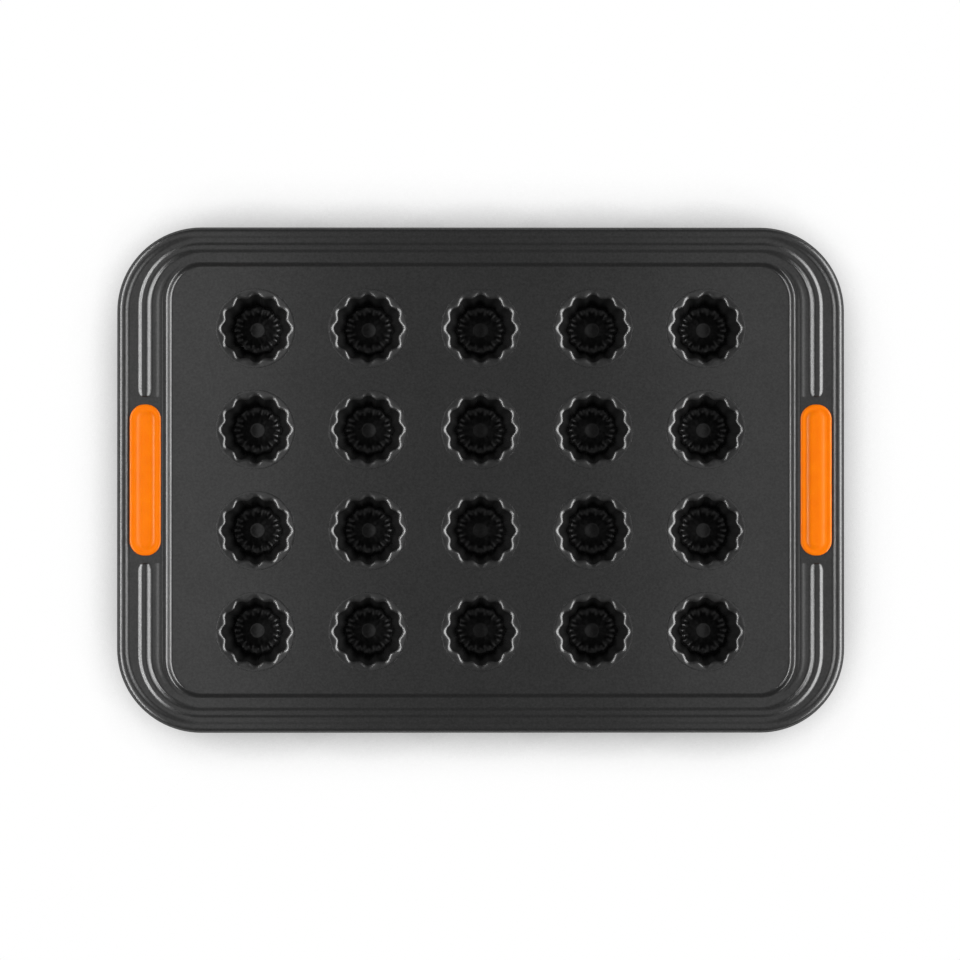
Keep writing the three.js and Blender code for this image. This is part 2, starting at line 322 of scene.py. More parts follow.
# %% Round the bead's ends
BEAD_TIP = 45.9 * MM
BEAD_CAP = 4.4 * MM
TIP_WIDTH = 0.4
CAP_STATIONS = (0, 0.03, 0.1, 0.22, 0.4, 0.65, 1)
NEAR = 0.02 * MM
CLOSE = NEAR / 4
bead_width = BEAD_UP[0] + BEAD_CREST[0] + BEAD_DOWN[0]
bead_middle = HALF_LENGTH - BEAD_START[0] - bead_width / 2
seat_z = (FLANGE_Z + inside_bead_z) / 2
seat_tilt = math.atan2(FLANGE_Z - inside_bead_z, bead_width)
flange_in = HALF_LENGTH - BEAD_START[0] - bead_width - SWELL_RUN[0] - STEP_RUN[0] - SHELF_RUN[0]
flange_out = HALF_LENGTH - ROLL_FOOT
corner_y = HALF_WIDTH - CORNER_RADIUS


def on_short_flange(middle, normal):
    """True for faces of the flange along the straight of a short side."""
    return flange_in < abs(middle.x) < flange_out and abs(middle.y) < corner_y - BEAD_CAP


def cut_flange(y):
    """Cuts the flange of both short sides across, at one place along them."""
    pick_faces(tray, on_short_flange)
    bpy.ops.mesh.bisect(plane_co=(0, y, 0), plane_no=(0, 1, 0))


def tilt_inwards(side, angle, inset, z):
    """Turns what is selected at a short side about a line along it, inner edge down."""
    line = (side * (HALF_LENGTH - inset), 0, z)
    bpy.ops.transform.rotate(value=side * angle, orient_axis="Y", center_override=line)


for share in CAP_STATIONS:
    for side in (1, -1):
        cut_flange(side * (BEAD_TIP + share * BEAD_CAP))
for share in CAP_STATIONS:
    height = math.sqrt(1 - (1 - share) ** 2)
    width = TIP_WIDTH + (1 - TIP_WIDTH) * height
    for side in (1, -1):
        def in_station(place):
            across = abs(place.x - side * bead_middle) < bead_width / 2 + NEAR
            return across and abs(abs(place.y) - BEAD_TIP - share * BEAD_CAP) < NEAR

        count = pick_vertices(tray, in_station)
        resize(width, 1, height, about=(side * bead_middle, 0, seat_z))
        tilt_inwards(side, (1 - height) * seat_tilt, BEAD_START[0] + bead_width / 2, seat_z)
print("bead ends:", len(CAP_STATIONS), "stations of", count, "points")

# %% Flatten the grips' seats
SEAT_END = 43.4 * MM
grip_seat_width = bead_width + SWELL_RUN[0]
grip_seat_inset = BEAD_START[0] + grip_seat_width / 2
grip_seat_z = (FLANGE_Z + inside_bead_z + SWELL_RISE) / 2
grip_seat_tilt = math.atan2(FLANGE_Z - inside_bead_z - SWELL_RISE, grip_seat_width)
for end in (1, -1):
    cut_flange(end * SEAT_END)
for side in (1, -1):
    def on_seat(place):
        across = abs(place.x - side * (HALF_LENGTH - grip_seat_inset)) < grip_seat_width / 2 + NEAR
        return across and abs(abs(place.y) - SEAT_END) < NEAR

    count = pick_vertices(tray, on_seat)
    resize(1, 1, 0, about=(0, 0, grip_seat_z))
    tilt_inwards(side, grip_seat_tilt, grip_seat_inset, grip_seat_z)
print("grip seats:", count, "points each, tilted",
      round(math.degrees(grip_seat_tilt), 2), "degrees")

# %% Let the swell die away round the corners
corner_x = HALF_LENGTH - CORNER_RADIUS
station = math.pi / 2 / CORNER_STEPS
CORNER_SLACK = 1.0 * MM
SWELL_BAND = (inside_bead_z + CLOSE, inside_bead_z + SWELL_RISE + NEAR)


def turn_of(place):
    """How far round its corner a point is, in stations from the short side on."""
    return round(math.atan2(abs(place.y) - corner_y, abs(place.x) - corner_x) / station)


def inside_bead(place):
    """True for points between the bead and the wall, by their distance from the corner's middle."""
    reach = math.hypot(abs(place.x) - corner_x, abs(place.y) - corner_y)
    return reach < CORNER_RADIUS - BEAD_START[1] - BEAD_UP[1] - BEAD_CREST[1] - BEAD_DOWN[1] + NEAR


lowered = 0
for turn in range(1, CORNER_STEPS + 1):
    def on_swell(place):
        beyond_x = abs(place.x) > corner_x - CORNER_SLACK
        beyond_y = abs(place.y) > corner_y - CORNER_SLACK
        if not (beyond_x and beyond_y and SWELL_BAND[0] < place.z < SWELL_BAND[1]):
            return False
        return inside_bead(place) and turn_of(place) == turn

    count = pick_vertices(tray, on_swell)
    if count:
        resize(1, 1, math.cos(turn * station) ** 2, about=(0, 0, inside_bead_z))
    lowered += count
print("swell:", lowered, "points lowered round the corners")

# %% [markdown]
# ## Thickness, holes and slots
# So far the tray is a skin. Solidify gives the sheet its thickness on the underside. The holes
# for the cups and the slots for the grips are then cut by one boolean, with all the cutters
# joined into a single object, because one exact cut is quicker and cleaner than twenty-two. The
# die leaves the edge of each hole rounded, which shows as a fine circle round every cup, so
# those edges are bevelled.

# %% Sheet thickness
bpy.ops.mesh.select_all(action="SELECT")
bpy.ops.mesh.normals_make_consistent(inside=False)
deck_up = max(bmesh.from_edit_mesh(tray.data).faces, key=lambda face: face.calc_area()).normal.z
if deck_up < 0:
    bpy.ops.mesh.flip_normals()
bpy.ops.object.mode_set(mode="OBJECT")
apply_modifier(tray, "SOLIDIFY", thickness=SHEET, offset=-1, use_even_offset=True, use_rim=True)
print("tray with thickness:", triangles(tray), "triangles")

# %% Cutters for the cups' holes and the grips' slots
COLLAR_LAP = 2.1 * MM
SEAM_GAP = 0.04 * MM
HOLE_RADIUS = COLLAR_RADIUS - COLLAR_LAP
PLUG_RADIUS = HOLE_RADIUS - SEAM_GAP
HOLE_POINTS = 96
CUT_HEIGHT = 6 * MM
GRIP_LIP = 2.2 * MM
SLOT_GAP = 0.3 * MM
GRIP_ROUND = 8.2 * MM
GRIP_CORNER_STEPS = 12
grip_low, grip_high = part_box("grip_right")
grip_half = (grip_high - grip_low) / 2
grip_middle = (grip_high + grip_low) / 2


def grip_outline(name, inset, side, z):
    """The flat outline of one grip, drawn in by an inset, open in edit mode."""
    outline = new_piece(name, bpy.ops.mesh.primitive_plane_add, size=1)
    resize(2 * (grip_half.x - inset), 2 * (grip_half.y - inset), 1)
    round_corners(GRIP_ROUND - inset, GRIP_CORNER_STEPS)
    bpy.ops.transform.translate(value=(side * grip_middle.x, 0, z))
    return outline


cutters = []
for middle in cup_middles.values():
    place = (middle.x, middle.y, DECK_Z)
    cutter = new_piece("hole_cutter", bpy.ops.mesh.primitive_cylinder_add, vertices=HOLE_POINTS,
                       radius=HOLE_RADIUS, depth=CUT_HEIGHT, location=place)
    bpy.ops.object.mode_set(mode="OBJECT")
    cutters.append(cutter)
for side in (1, -1):
    cutter = grip_outline("slot_cutter", GRIP_LIP - SLOT_GAP, side, FLANGE_Z - CUT_HEIGHT / 2)
    extrude((0, 0, CUT_HEIGHT))
    bpy.ops.mesh.select_all(action="SELECT")
    bpy.ops.mesh.normals_make_consistent(inside=False)
    bpy.ops.object.mode_set(mode="OBJECT")
    cutters.append(cutter)
for cutter in cutters:
    cutter.select_set(True)
bpy.ops.object.join()
all_cutters = bpy.context.object
apply_modifier(tray, "BOOLEAN", object=all_cutters, operation="DIFFERENCE", solver="EXACT")
bpy.data.objects.remove(all_cutters)
print("tray with holes:", triangles(tray), "triangles")

# %% Round the holes' edges
HOLE_ROUND = 0.06 * MM
HOLE_ROUND_STEPS = 3
bpy.context.view_layer.objects.active = tray
bpy.ops.object.mode_set(mode="EDIT")


def on_hole_rim(place):
    """True for points on the upper edge of a cup's hole."""
    if abs(place.z - DECK_Z) > NEAR:
        return False
    reaches = [math.hypot(place.x - middle.x, place.y - middle.y)
               for middle in cup_middles.values()]
    return min(abs(reach - HOLE_RADIUS) for reach in reaches) < NEAR


rim_step = 2 * math.pi * HOLE_RADIUS / HOLE_POINTS
rim_edges = pick_edges(tray, lambda edge: edge.calc_length() < 2 * rim_step
                       and all(on_hole_rim(vertex.co) for vertex in edge.verts))
bpy.ops.mesh.bevel(offset=HOLE_ROUND, segments=HOLE_ROUND_STEPS,
                   affect="EDGES", clamp_overlap=False)
close_edit(tray)
apply_modifier(tray, "WEIGHTED_NORMAL", keep_sharp=True, weight=100)
print("hole edges:", rim_edges, "and the tray has", triangles(tray), "triangles")

# %% [markdown]
# ## One cup
# A canele cup is a small fluted bell. Here each one is pressed on its own: a collar laps under
# the deck, a step fills the hole, and a narrow land leads to the mouth, which turns over in a
# wide round and then a tight one. The wall runs down and eases into a groove over three rounds.
# From there the floor rises as a low cone to a small, slightly dished disc, which leaves the
# hollow in the top of the baked cake. A cylinder could be pulled into this, but a bell is
# quicker drawn as half a section and spun. The inside is drawn first, from the collar to the
# middle of the disc, and the outside is the same line moved by the thickness.

# %% Lean, round and height of each stretch of the cup
CUP_SHEET = 0.8 * MM
SEAT_GAP = 0.02 * MM
LAND_STEP = 0.06 * MM
LAND_EDGE = 0.25 * MM
LAND_ROUND = 0.8 * MM
LAND_ROLL = 0.1 * MM
LAND_SHARES = (0.06, 0.3, 0.6, 1)
LAND_BOW = 1.6
LAND_LEAN = math.radians(4)
MOUTH_START = 20.65 * MM
MOUTH_FALL = 0.05 * MM
MOUTH_ROUND = 4.2 * MM
MOUTH_LEAN = math.radians(37)
THROAT_ROUND = 1.5 * MM
WALL_LEAN = math.radians(79.5)
FOOT_LEAN = math.radians(30)
FOOT_ROUND = 2.2 * MM
EASE_LEAN = math.radians(15)
EASE_ROUND = 6.0 * MM
GROOVE_RADIUS = 10.2 * MM
GROOVE_ROUND = 2.0 * MM
CONE_LEAN = math.radians(25.5)
DISC_HEIGHT = 2.75 * MM
DISC_RADIUS = 3.75 * MM
DISC_ROUND = 1.2 * MM
DISC_STEPS = 4
DISC_DISH = 0.25 * MM
DISH_BOW = 0.5
collar_z = DECK_Z - SHEET - SEAT_GAP
land_z = DECK_Z - LAND_STEP
floor_z = cup_low.z + CUP_SHEET
disc_z = floor_z + DISC_HEIGHT
print("cup: collar at", round(collar_z / MM, 2), "mm and land at", round(land_z / MM, 2), "mm")


# %% The inside of the bell, as (radius, height)
def between(first, last, steps, bow=1):
    """Points after the first, up to the last. A bow over 1 starts level, under 1 ends level."""
    shares = [k / steps for k in range(1, steps + 1)]
    falls = [s ** bow if bow >= 1 else 1 - (1 - s) ** (1 / bow) for s in shares]
    return [(first[0] + (last[0] - first[0]) * s, first[1] + (last[1] - first[1]) * f)
            for s, f in zip(shares, falls)]


def arc_inwards(start, first_lean, last_lean, radius, steps):
    """Points on an arc that runs inwards and down while its lean from level changes."""
    sense = 1 if last_lean > first_lean else -1
    leans = [first_lean + (last_lean - first_lean) * k / steps for k in range(1, steps + 1)]
    return [(start[0] - sense * radius * (math.sin(lean) - math.sin(first_lean)),
             start[1] - sense * radius * (math.cos(first_lean) - math.cos(lean))) for lean in leans]


collar_line = [
    (COLLAR_RADIUS, collar_z),
    (PLUG_RADIUS + LAND_EDGE, collar_z),
    (PLUG_RADIUS, collar_z + LAND_EDGE),
    (PLUG_RADIUS, land_z - 2 * LAND_ROLL),
]
collar_line += [(PLUG_RADIUS - LAND_ROUND * s, land_z - LAND_ROLL * (1 - s) ** 2)
                for s in LAND_SHARES]
mouth = (MOUTH_START, land_z - MOUTH_FALL)
bell_line = between(collar_line[-1], mouth, steps=4, bow=LAND_BOW)
bell_line += arc_inwards(bell_line[-1], LAND_LEAN, MOUTH_LEAN, MOUTH_ROUND, steps=6)
bell_line += arc_inwards(bell_line[-1], MOUTH_LEAN, WALL_LEAN, THROAT_ROUND, steps=5)
# Each arc of the floor: the lean before it, the lean after it, its round and its steps
floor_arcs = [
    (WALL_LEAN, FOOT_LEAN, FOOT_ROUND, 5),
    (FOOT_LEAN, EASE_LEAN, EASE_ROUND, 5),
    (EASE_LEAN, -CONE_LEAN, GROOVE_ROUND, 6),
]
wall_end = [GROOVE_RADIUS, floor_z]
for first, last, radius, _ in floor_arcs:
    wall_end[0] += radius * (math.sin(first) - math.sin(max(last, 0)))
    wall_end[1] += radius * (math.cos(max(last, 0)) - math.cos(first))
bell_line += between(bell_line[-1], wall_end, steps=6)
floor_begin = len(bell_line) - 1
for first, last, radius, steps in floor_arcs:
    bell_line += arc_inwards(bell_line[-1], first, last, radius, steps)
disc_edge = [(DISC_RADIUS + DISC_ROUND * math.sin(lean), disc_z - DISC_ROUND * (1 - math.cos(lean)))
             for lean in (CONE_LEAN * (1 - k / DISC_STEPS) for k in range(DISC_STEPS + 1))]
bell_line += between(bell_line[-1], disc_edge[0], steps=7) + disc_edge[1:]
bell_line += between(disc_edge[-1], (0, disc_z - DISC_DISH), steps=6, bow=DISH_BOW)
print("bell:", len(bell_line), "points, floor at", round(floor_z / MM, 2), "mm,",
      "disc at", round(disc_z / MM, 2), "mm")


# %% The outside, and the whole line
def outward(line):
    """For each point of a line, the way that is square to it, to the outside of the bell."""
    ways = []
    for k in range(len(line)):
        before, after = line[max(k - 1, 0)], line[min(k + 1, len(line) - 1)]
        along = Vector((after[0] - before[0], after[1] - before[1])).normalized()
        ways.append(Vector((-along.y, along.x)))
    ways[-1] = Vector((0, -1))
    return ways


bell_ways = outward(bell_line)
outer_bell = [(radius + CUP_SHEET * way.x, height + CUP_SHEET * way.y)
              for (radius, height), way in zip(bell_line, bell_ways)]
under_z = collar_z - CUP_SHEET
neck = PLUG_RADIUS - CUP_SHEET
neck_line = [(COLLAR_RADIUS, under_z), (neck + LAND_EDGE, under_z), (neck, under_z + LAND_EDGE)]
cup_line = (collar_line + bell_line)[::-1] + neck_line + outer_bell
print("cup line:", len(cup_line), "points, and the sheet is", round(CUP_SHEET / MM, 2), "mm")

# %% [markdown]
# ## Spinning and fluting the cup
# By hand, the line is one vertex extruded again and again, and Spin turns it into the bell. The
# flutes are made ring by ring: the points at a lobe move out and those at a rib move in, by a
# depth that follows a cosine. Down the wall they move sideways. In the groove they turn with it,
# so that the ribs run on over the floor as low ridges and die away up the cone before the disc.
# The collar stays round to fit its hole.

# %% Draw and spin
FLUTES = 12
POINTS_PER_FLUTE = 12
cup = new_piece("cup_pressing", bpy.ops.mesh.primitive_plane_add, size=MM)
bpy.ops.mesh.select_mode(type="VERT")
bpy.ops.mesh.select_all(action="SELECT")
bpy.ops.mesh.merge(type="CENTER")
place = Vector((0, 0, 0))
for number, (radius, height) in enumerate(cup_line):
    step = Vector((radius, 0, height)) - place
    place += step
    if number == 0:
        bpy.ops.transform.translate(value=step)
    else:
        extrude(step)
bpy.ops.mesh.select_all(action="SELECT")
bpy.ops.mesh.spin(steps=FLUTES * POINTS_PER_FLUTE, angle=2 * math.pi,
                  center=(0, 0, 0), axis=(0, 0, 1))
weld()
print("spun cup:", len(bmesh.from_edit_mesh(cup.data).verts), "points")

# %% Flutes
# The depth of the flutes at radii of the bell, both in millimetres: floor, wall and mouth
FLUTE_DEPTHS = ((6.6, 0), (7.6, 0.1), (8.6, 0.26), (9.6, 0.42), (10.4, 0.46),
                (12.4, 0.46), (13.9, 0.62), (17.5, 0.86), (18.6, 0.9),
                (19.2, 0.88), (19.8, 0.72), (20.3, 0.5), (20.9, 0.18), (21.4, 0))
FLUTE_LEAN = 0.7


def flute_depth(radius):
    """How far a flute reaches out and in from its middle, for a radius of the bell."""
    for (inner, low), (outer, high) in zip(FLUTE_DEPTHS, FLUTE_DEPTHS[1:]):
        if inner * MM < radius <= outer * MM:
            return (low + (high - low) * (radius / MM - inner) / (outer - inner)) * MM
    return 0


def phase_of(place):
    """A point's place in its flute, in steps from the nearest lobe."""
    turn = math.atan2(place.y, place.x) / (2 * math.pi)
    step = round(turn * FLUTES * POINTS_PER_FLUTE) % POINTS_PER_FLUTE
    return min(step, POINTS_PER_FLUTE - step)


fluted, moved = 0, 0
for number, (inner, outer) in enumerate(zip(bell_line, outer_bell)):
    depth = flute_depth(inner[0])
    if depth <= 0:
        continue
    fluted += 1
    way = bell_ways[number] if number > floor_begin else Vector((1, 0))
    aside = max(way.x, FLUTE_LEAN)
    for phase in range(POINTS_PER_FLUTE // 2 + 1):
        move = depth * (math.cos(2 * math.pi * phase / POINTS_PER_FLUTE) + way.y)
        for radius, height in (inner, outer):
            def in_ring(place):
                if abs(place.z - height) > CLOSE or phase_of(place) != phase:
                    return False
                return abs(math.hypot(place.x, place.y) - radius) < CLOSE

            moved += pick_vertices(cup, in_ring)
            reach = 1 + move * aside / radius
            resize(reach, reach, 1)
            bpy.ops.transform.translate(value=(0, 0, move * way.y))
close_edit(cup)
print("flutes:", fluted, "rings and", moved, "points, and the cup has", triangles(cup), "triangles")

# %% [markdown]
# ## Twenty cups
# The bell was modelled once, at the origin. Each cup is a copy with a mesh of its own, moved to
# the middle of its hole and with that place applied, so that every object sits at the origin and
# the grain of the coat runs on from piece to piece without repeating.

# %% Copy the cup to every place
cups = {}
for name, middle in cup_middles.items():
    bpy.ops.object.select_all(action="DESELECT")
    cup.select_set(True)
    bpy.context.view_layer.objects.active = cup
    bpy.ops.object.duplicate(linked=False)
    copy = bpy.context.object
    copy.name = name.replace("cup_", "cup_pressing_")
    copy.data.name = copy.name
    bpy.ops.transform.translate(value=(middle.x, middle.y, 0))
    bpy.ops.object.transform_apply(location=True, rotation=False, scale=False)
    cups[name] = copy
bpy.data.objects.remove(cup)
print("cups:", len(cups))

# %% [markdown]
# ## The wire in the rolled edge
# The edge is rolled round a steel wire, which keeps the pan from twisting. Only a little of it
# shows from below. A rounded outline with its face deleted becomes a curve, the curve gets a
# round bevel, and that becomes a mesh again.

# %% Hoop of wire
WIRE_ROUNDNESS = 4
wire_radius = (wire_high.z - wire_low.z) / 2
wire = new_piece("rim_wire_hoop", bpy.ops.mesh.primitive_plane_add, size=1,
                 location=(0, 0, wire_low.z + wire_radius))
resize(2 * (wire_high.x - wire_radius), 2 * (wire_high.y - wire_radius), 1)
round_corners(CORNER_RADIUS - ROLL_RADIUS, CORNER_STEPS)
bpy.ops.mesh.delete(type="ONLY_FACE")
bpy.ops.object.mode_set(mode="OBJECT")
bpy.ops.object.convert(target="CURVE")
wire.data.bevel_depth = wire_radius
wire.data.bevel_resolution = WIRE_ROUNDNESS
bpy.ops.object.convert(target="MESH")
wire.data.name = wire.name
bpy.ops.object.shade_smooth()
print("wire:", triangles(wire), "triangles, box", [round(v, 4) for v in wire.dimensions])

# %% [markdown]
# ## The grips
# Each grip is one silicone moulding pressed into a slot in the flange. From above it has a
# rounded lip, a shallow valley and a raised crown. The top leans down towards the pan, and the
# crown lies a little that way too. Below the sheet a second lip keeps the grip in. One outline
# is enough: it is turned to lie on the seat, its face is inset upwards ring by ring for the top,
# like the tray, and a face on its underside is extruded through the slot.

# %% Top of a grip
GRIP_SEAT = 0.03 * MM
CROWN_ROOM = 0.14 * MM
CROWN_SHIFT = 0.6 * MM
GRIP_LEAN = math.radians(4.2)
LIP_RUN = 1.4 * MM
LIP_RISE = 0.8 * MM
LIP_CREST = 0.3 * MM
VALLEY_RUN = 0.8 * MM
VALLEY_FALL = 0.1 * MM
CROWN_RUN = 4.5 * MM
CROWN_RISE = 1.0 * MM
CROWN_STEEPEST = 0.35
# Each stretch of the top: its run, its rise, its shift towards the pan and its shape
top_section = [
    (LIP_RUN, LIP_RISE, 0, quarter_round(steps=7)),
    (LIP_CREST, 0, 0, LEVEL),
    (VALLEY_RUN, -VALLEY_FALL, 0, soft_s(steps=4)),
    (CROWN_RUN, CROWN_RISE, CROWN_SHIFT, lopsided_s(steps=12, steepest=CROWN_STEEPEST)),
]
side_top = grip_high.z - sum(rise for _, rise, _, _ in top_section) - CROWN_ROOM
grip_z = grip_seat_z + GRIP_SEAT
grip = grip_outline("grip_moulding_right", 0, 1, grip_z)
tilt_inwards(1, grip_seat_tilt, grip_seat_inset, grip_z)
bpy.ops.mesh.select_mode(type="FACE")
extrude((0, 0, side_top - grip_z))
resize(1, 1, 0, about=(0, 0, side_top))
tilt_inwards(1, GRIP_LEAN, HALF_LENGTH - grip_middle.x, side_top)
for run, rise, shift, shape in top_section:
    across_before, up_before = 0, 0
    for across, up in shape:
        part = across - across_before
        bpy.ops.mesh.inset(thickness=part * run, depth=(up - up_before) * rise)
        bpy.ops.transform.translate(value=(-part * shift, 0, 0))
        across_before, up_before = across, up
print("grip side:", round((side_top - grip_z) / MM, 2), "mm high")

# %% Waist and lower lip of a grip
UNDER_GAP = 0.1 * MM
UNDER_LIP = 0.8 * MM
UNDER_ROUND = 0.5 * MM
UNDER_STEPS = 4
FLAT = 0.9
pick_faces(grip, lambda middle, normal: abs(normal.z) > FLAT and middle.z < side_top - NEAR)
bpy.ops.mesh.inset(thickness=GRIP_LIP)
waist = SHEET + UNDER_GAP
extrude((0, 0, -waist))
extrude((0, 0, 0))
grow = [(half - UNDER_LIP) / (half - GRIP_LIP) for half in grip_half.xy]
resize(*grow, 1, about=(grip_middle.x, 0, 0))
under_lip = grip_z - waist - grip_low.z
extrude((0, 0, UNDER_ROUND - under_lip))
resize(1, 1, 0, about=(0, 0, grip_low.z + UNDER_ROUND))
halves = [half - UNDER_LIP for half in grip_half.xy]
across_before, up_before = 0, 0
for across, up in quarter_round(UNDER_STEPS):
    extrude((0, 0, -(up - up_before) * UNDER_ROUND))
    shrink = [(half - across * UNDER_ROUND) / (half - across_before * UNDER_ROUND)
              for half in halves]
    resize(*shrink, 1, about=(grip_middle.x, 0, 0))
    across_before, up_before = across, up
weld()
close_edit(grip)
print("grip:", triangles(grip), "triangles")

# %% Copy the grip to the other side
bpy.ops.object.duplicate(linked=False)
left_grip = bpy.context.object
left_grip.name = "grip_moulding_left"
left_grip.data.name = left_grip.name
bpy.ops.transform.rotate(value=math.pi, orient_axis="Z", center_override=(0, 0, 0))
bpy.ops.object.transform_apply(location=True, rotation=True, scale=False)
grips = {"grip_right": grip, "grip_left": left_grip}
print("grips:", sorted(piece.name for piece in grips.values()))

# %% [markdown]
# ## Materials from nodes
# A finish is a small tree of nodes. Noise on Object coordinates gives grain of a real size in
# metres, a colour ramp turns it into two or three close shades, and the same noise or a finer
# one drives roughness and bump. Each helper adds one step of the tree, so that every finish
# below reads as a short list.


# %% Node helpers
def new_finish(name):
    """A material with nodes, and its shader."""
    material = bpy.data.materials.new(name)
    material.use_nodes = True
    return material, material.node_tree, material.node_tree.nodes["Principled BSDF"]


def noise(tree, scale, detail=2, roughness=0.5, stretch=(1, 1, 1)):
    """Noise on Object coordinates, about 1/scale metres to a blotch."""
    coords = tree.nodes.new("ShaderNodeTexCoord")
    mapping = tree.nodes.new("ShaderNodeMapping")
    mapping.inputs["Scale"].default_value = stretch
    node = tree.nodes.new("ShaderNodeTexNoise")
    node.inputs["Scale"].default_value = scale
    node.inputs["Detail"].default_value = detail
    node.inputs["Roughness"].default_value = roughness
    tree.links.new(coords.outputs["Object"], mapping.inputs["Vector"])
    tree.links.new(mapping.outputs["Vector"], node.inputs["Vector"])
    return node.outputs["Fac"]


def ramp(tree, value, stops):
    """A value turned into colours: stops are (place, colour)."""
    node = tree.nodes.new("ShaderNodeValToRGB")
    spots = node.color_ramp.elements
    for number, (place, colour) in enumerate(stops):
        spot = spots[number] if number < 2 else spots.new(place)
        spot.position = place
        spot.color = (*colour, 1)
    tree.links.new(value, node.inputs["Fac"])
    return node.outputs["Color"]


def spread(tree, value, low, high):
    """A value from 0 to 1 spread between two others."""
    node = tree.nodes.new("ShaderNodeMapRange")
    node.inputs["To Min"].default_value = low
    node.inputs["To Max"].default_value = high
    tree.links.new(value, node.inputs["Value"])
    return node.outputs["Result"]


def tint(tree, colour, over):
    """One colour multiplied by another."""
    node = tree.nodes.new("ShaderNodeMix")
    node.data_type = "RGBA"
    node.blend_type = "MULTIPLY"
    node.inputs["Factor"].default_value = 1
    tree.links.new(colour, node.inputs["A"])
    tree.links.new(over, node.inputs["B"])
    return node.outputs["Result"]


def bump(tree, value, strength, depth):
    """A bump of a real depth in metres."""
    node = tree.nodes.new("ShaderNodeBump")
    node.inputs["Strength"].default_value = strength
    node.inputs["Distance"].default_value = depth
    tree.links.new(value, node.inputs["Height"])
    return node.outputs["Normal"]


def grey(level):
    """A colour with no hue."""
    return (level, level, level)


# %% [markdown]
# ## The dark coat
# The steel is coated with a dark, satin, non-stick layer. Close up it is faintly mottled, with
# fine darker and lighter grains, and it throws back a soft light like a dull metal. A plain dark
# plastic would be too black between its highlights and too white in them, so the shader is part
# metallic.

# %% Coat
GRAIN_SHADES = [(0.3, grey(0.094)), (0.7, grey(0.130)), (0.5, grey(0.112))]
PATCH_SHADES = [(0.3, grey(0.93)), (0.7, grey(1.0))]
COAT_ROUGHNESS = (0.26, 0.33)
BUMP_DEPTH = 0.1 * MM
coat, tree, shader = new_finish("dark_coat")
grain = noise(tree, scale=800, detail=4, roughness=0.65)
patches = noise(tree, scale=45, detail=3)
shade = ramp(tree, grain, GRAIN_SHADES)
mottle = ramp(tree, patches, PATCH_SHADES)
tree.links.new(tint(tree, shade, mottle), shader.inputs["Base Color"])
tree.links.new(spread(tree, grain, *COAT_ROUGHNESS), shader.inputs["Roughness"])
fine = noise(tree, scale=2600, detail=2)
tree.links.new(bump(tree, fine, strength=0.02, depth=BUMP_DEPTH), shader.inputs["Normal"])
shader.inputs["Metallic"].default_value = 0.85
shader.inputs["Specular Tint"].default_value = (0.1, 0.1, 0.1, 1)
print("coat:", len(tree.nodes), "nodes")

# %% [markdown]
# ## Silicone and wire
# The silicone is a strong orange, satin and slightly cloudy, with a fine moulded grain. Light
# goes a little way into it, which softens its shading. The wire is drawn steel: bright, with
# fine lines along it.

# %% Silicone
CLOUD_SHADES = [(0.3, (0.84, 0.169, 0.001)), (0.7, (0.88, 0.190, 0.001))]
SILICONE_ROUGHNESS = (0.22, 0.30)
silicone, tree, shader = new_finish("orange_silicone")
cloud = noise(tree, scale=120, detail=3)
moulded = noise(tree, scale=2200, detail=2)
tree.links.new(ramp(tree, cloud, CLOUD_SHADES), shader.inputs["Base Color"])
tree.links.new(spread(tree, moulded, *SILICONE_ROUGHNESS), shader.inputs["Roughness"])
tree.links.new(bump(tree, moulded, strength=0.15, depth=BUMP_DEPTH), shader.inputs["Normal"])
shader.inputs["Subsurface Weight"].default_value = 0.12
shader.inputs["Specular IOR Level"].default_value = 0.45
shader.inputs["Specular Tint"].default_value = (1, 0.8, 0.55, 1)
shader.inputs["Subsurface Radius"].default_value = (0.002, 0.0006, 0.0002)
print("silicone:", len(tree.nodes), "nodes")

# %% Drawn steel wire
STEEL_SHADES = [(0.3, grey(0.45)), (0.7, grey(0.62))]
STEEL_ROUGHNESS = (0.25, 0.4)
steel, tree, shader = new_finish("drawn_steel")
lines = noise(tree, scale=900, detail=3, stretch=(0.1, 0.1, 1))
tree.links.new(ramp(tree, lines, STEEL_SHADES), shader.inputs["Base Color"])
tree.links.new(spread(tree, lines, *STEEL_ROUGHNESS), shader.inputs["Roughness"])
shader.inputs["Metallic"].default_value = 1
print("steel:", len(tree.nodes), "nodes")

# %% [markdown]
# ## Joining the pieces to the frame
# Every piece rides on the frame's one body, stands for the solid it was modelled around, and
# takes a material slot. That keeps the dressed pan tied to the solids: the solids still carry
# the weight and the contact.


# %% Ride, replace and slot
def dress(piece, node, material):
    """Gives a piece its finish, puts it on the frame's body and hides the solid it stands for."""
    piece.data.materials.clear()
    piece.data.materials.append(material)
    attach(piece, "root")
    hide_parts(node)


dress(tray, "tray", coat)
dress(wire, "rim_wire", steel)
for name, piece in cups.items():
    dress(piece, name, coat)
for name, piece in grips.items():
    dress(piece, name, silicone)
print("pieces:", 2 + len(cups) + len(grips))
